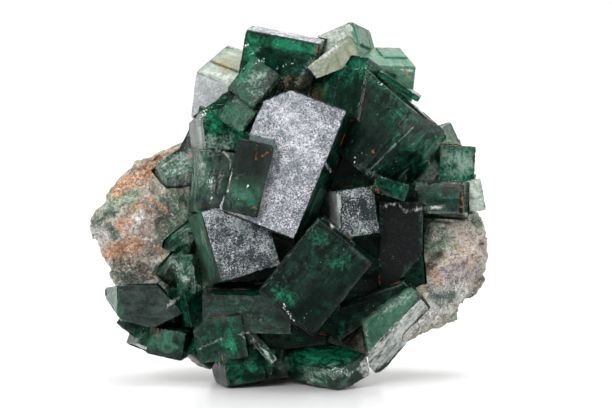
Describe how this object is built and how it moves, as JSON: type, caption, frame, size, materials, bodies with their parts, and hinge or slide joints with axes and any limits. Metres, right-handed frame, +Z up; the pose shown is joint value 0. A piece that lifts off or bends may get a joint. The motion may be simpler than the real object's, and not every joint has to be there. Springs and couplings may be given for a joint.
{
  "type": "green fluorite crystal cluster specimen",
  "caption": "Cluster of interpenetrating green cubic crystals with paler crystals at the rim, grown on broken matrix rock; stands on its flat foot as a display mineral.",
  "frame": {"origin": "under the middle of the specimen's bounding box, on the plane that it stands on", "axes": "+X to the right of the show side, +Y away from it towards the bare rock back, +Z up"},
  "size_m": [0.0898, 0.0544, 0.0794],
  "materials": {
    "deep_green_crystal": "deep emerald see-through crystal, glossy faces, some etched to silver-grey frost",
    "pale_green_crystal": "pale mint cloudy crystal with satin and frosted faces",
    "rusty_rock": "rough broken rock, grey-white and pinkish brown with rust stains"
  },
  "bodies": {
    "root": {"green_crystals": "deep_green_crystal", "pale_crystals_left": "pale_green_crystal", "pale_crystals_top": "pale_green_crystal", "pale_crystals_right": "pale_green_crystal", "matrix": "rusty_rock"}
  },
  "joints": []
}
